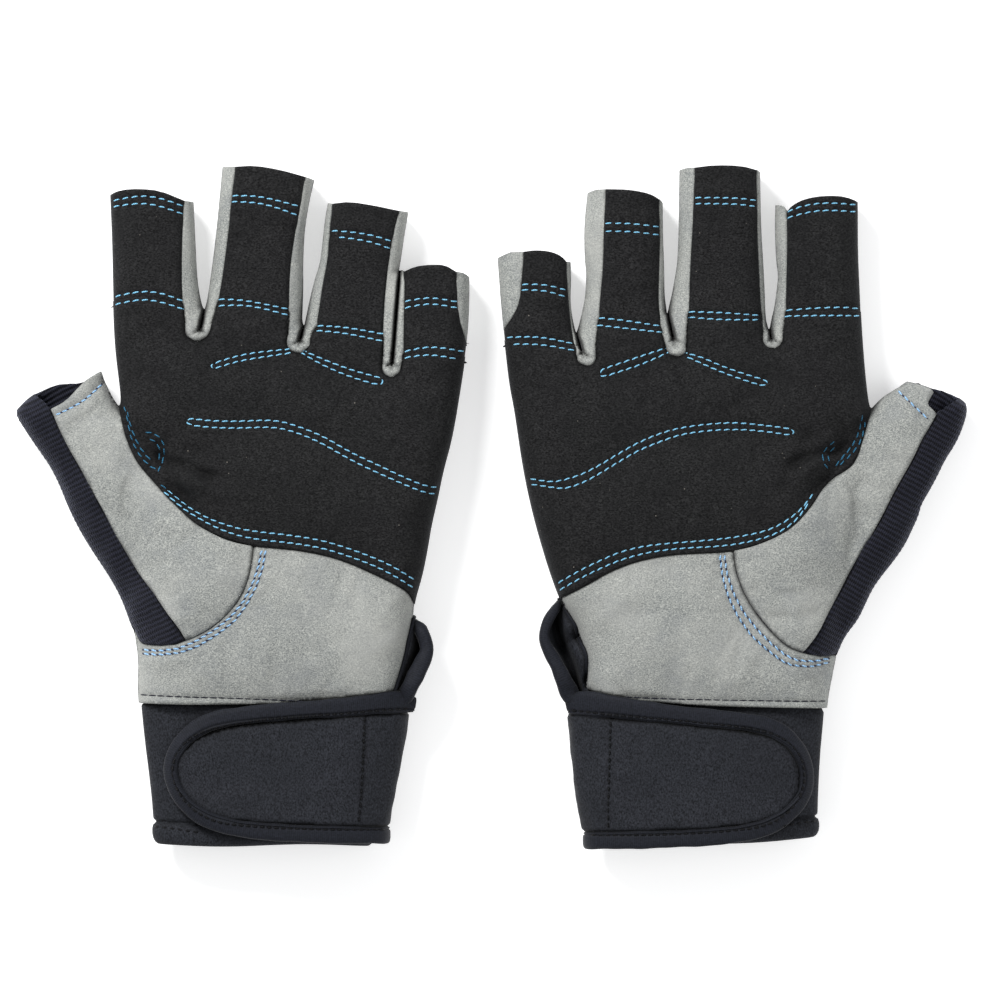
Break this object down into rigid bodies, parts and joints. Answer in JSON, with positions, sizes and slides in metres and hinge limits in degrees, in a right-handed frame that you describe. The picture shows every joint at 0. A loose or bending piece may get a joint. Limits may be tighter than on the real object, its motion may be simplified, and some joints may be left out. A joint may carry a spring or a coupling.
{
  "type": "pair of short-finger sailing gloves",
  "caption": "Pair of short-finger gloves with suede palms, grip overlays, stretch sides, open finger and thumb stalls, and neoprene cuffs closed by hook-and-loop wrist straps.",
  "frame": {"origin": "on the resting plane, at the centre of the pair's bounding box", "axes": "+X from the left-hand glove to the right-hand glove, +Y from the wrists to the fingertips, +Z out of the palms"},
  "size_m": [0.2847, 0.2038, 0.0244],
  "materials": {
    "palm_suede_black": "synthetic suede with a fine nap",
    "suede_grey": "synthetic suede, mottled nap",
    "stretch_black": "ribbed stretch knit",
    "neoprene_black": "fabric-faced neoprene",
    "binding_black": "woven binding tape",
    "hook_black": "moulded hook tape",
    "loop_black": "brushed loop tape"
  },
  "bodies": {
    "left_palm": {"left_back_panel": "stretch_black", "left_crotch_index_middle": "suede_grey", "left_crotch_middle_ring": "suede_grey", "left_crotch_ring_little": "suede_grey", "left_cuff_band": "neoprene_black", "left_heel_panel": "suede_grey", "left_loop_patch": "loop_black", "left_palm_overlay": "palm_suede_black", "left_thenar_panel": "suede_grey", "left_thumb_gusset": "stretch_black", "left_vent_binding": "binding_black"},
    "left_index": {"left_index_back": "stretch_black", "left_index_front": "palm_suede_black", "left_index_gusset": "suede_grey"},
    "left_middle": {"left_middle_back": "stretch_black", "left_middle_front": "palm_suede_black", "left_middle_gusset_index_side": "suede_grey", "left_middle_gusset_ring_side": "suede_grey"},
    "left_ring": {"left_ring_back": "stretch_black", "left_ring_front": "palm_suede_black", "left_ring_gusset_little_side": "suede_grey", "left_ring_gusset_middle_side": "suede_grey"},
    "left_little": {"left_little_back": "stretch_black", "left_little_front": "palm_suede_black", "left_little_gusset": "suede_grey"},
    "left_thumb": {"left_thumb_back": "stretch_black", "left_thumb_front": "suede_grey"},
    "left_strap": {"left_hook_patch": "hook_black", "left_strap_binding": "binding_black", "left_wrist_strap": "neoprene_black"},
    "right_palm": {"right_back_panel": "stretch_black", "right_crotch_index_middle": "suede_grey", "right_crotch_middle_ring": "suede_grey", "right_crotch_ring_little": "suede_grey", "right_cuff_band": "neoprene_black", "right_heel_panel": "suede_grey", "right_loop_patch": "loop_black", "right_palm_overlay": "palm_suede_black", "right_thenar_panel": "suede_grey", "right_thumb_gusset": "stretch_black", "right_vent_binding": "binding_black"},
    "right_little": {"right_little_back": "stretch_black", "right_little_front": "palm_suede_black", "right_little_gusset": "suede_grey"},
    "right_ring": {"right_ring_back": "stretch_black", "right_ring_front": "palm_suede_black", "right_ring_gusset_little_side": "suede_grey", "right_ring_gusset_middle_side": "suede_grey"},
    "right_middle": {"right_middle_back": "stretch_black", "right_middle_front": "palm_suede_black", "right_middle_gusset_index_side": "suede_grey", "right_middle_gusset_ring_side": "suede_grey"},
    "right_index": {"right_index_back": "stretch_black", "right_index_front": "palm_suede_black", "right_index_gusset": "suede_grey"},
    "right_thumb": {"right_thumb_back": "stretch_black", "right_thumb_front": "suede_grey"},
    "right_strap": {"right_hook_patch": "hook_black", "right_strap_binding": "binding_black", "right_wrist_strap": "neoprene_black"}
  },
  "joints": [
    {"name": "left_index_flex", "type": "hinge", "parent": "left_palm", "child": "left_index", "pos_m": [-0.0999, 0.0625, 0.016], "axis": [0.9986, 0.0531, 0], "range_deg": [0, 70]},
    {"name": "left_middle_flex", "type": "hinge", "parent": "left_palm", "child": "left_middle", "pos_m": [-0.0707, 0.0607, 0.016], "axis": [0.9942, -0.1079, 0], "range_deg": [0, 70]},
    {"name": "left_ring_flex", "type": "hinge", "parent": "left_palm", "child": "left_ring", "pos_m": [-0.0425, 0.0532, 0.016], "axis": [0.9879, -0.155, 0], "range_deg": [0, 70]},
    {"name": "left_little_flex", "type": "hinge", "parent": "left_palm", "child": "left_little", "pos_m": [-0.0176, 0.0478, 0.016], "axis": [0.9987, -0.0516, 0], "range_deg": [0, 70]},
    {"name": "left_thumb_flex", "type": "hinge", "parent": "left_palm", "child": "left_thumb", "pos_m": [-0.1164, 0.0061, 0.0195], "axis": [0.9057, 0.424, 0], "range_deg": [0, 60]},
    {"name": "left_strap_open", "type": "hinge", "parent": "left_palm", "child": "left_strap", "pos_m": [-0.02633, -0.0794, 0.01273], "axis": [0.1957, 0.9807, 0], "range_deg": [0, 150]},
    {"name": "right_little_flex", "type": "hinge", "parent": "right_palm", "child": "right_little", "pos_m": [0.0151, 0.0508, 0.016], "axis": [0.9975, 0.0709, 0], "range_deg": [0, 70]},
    {"name": "right_ring_flex", "type": "hinge", "parent": "right_palm", "child": "right_ring", "pos_m": [0.0403, 0.0553, 0.016], "axis": [0.9999, -0.0132, 0], "range_deg": [0, 70]},
    {"name": "right_middle_flex", "type": "hinge", "parent": "right_palm", "child": "right_middle", "pos_m": [0.0684, 0.0583, 0.016], "axis": [0.9999, -0.0144, 0], "range_deg": [0, 70]},
    {"name": "right_index_flex", "type": "hinge", "parent": "right_palm", "child": "right_index", "pos_m": [0.0984, 0.0592, 0.016], "axis": [1, 0.0068, 0], "range_deg": [0, 70]},
    {"name": "right_thumb_flex", "type": "hinge", "parent": "right_palm", "child": "right_thumb", "pos_m": [0.1192, 0.0073, 0.0195], "axis": [0.9359, -0.3523, 0], "range_deg": [0, 60]},
    {"name": "right_strap_open", "type": "hinge", "parent": "right_palm", "child": "right_strap", "pos_m": [0.0249, -0.0803, 0.01273], "axis": [0.1438, -0.9896, 0], "range_deg": [0, 150]},
    {"name": "gloves_apart", "type": "slide", "parent": "left_palm", "child": "right_palm", "axis": [1, 0, 0], "range_m": [0, 0.1]}
  ]
}
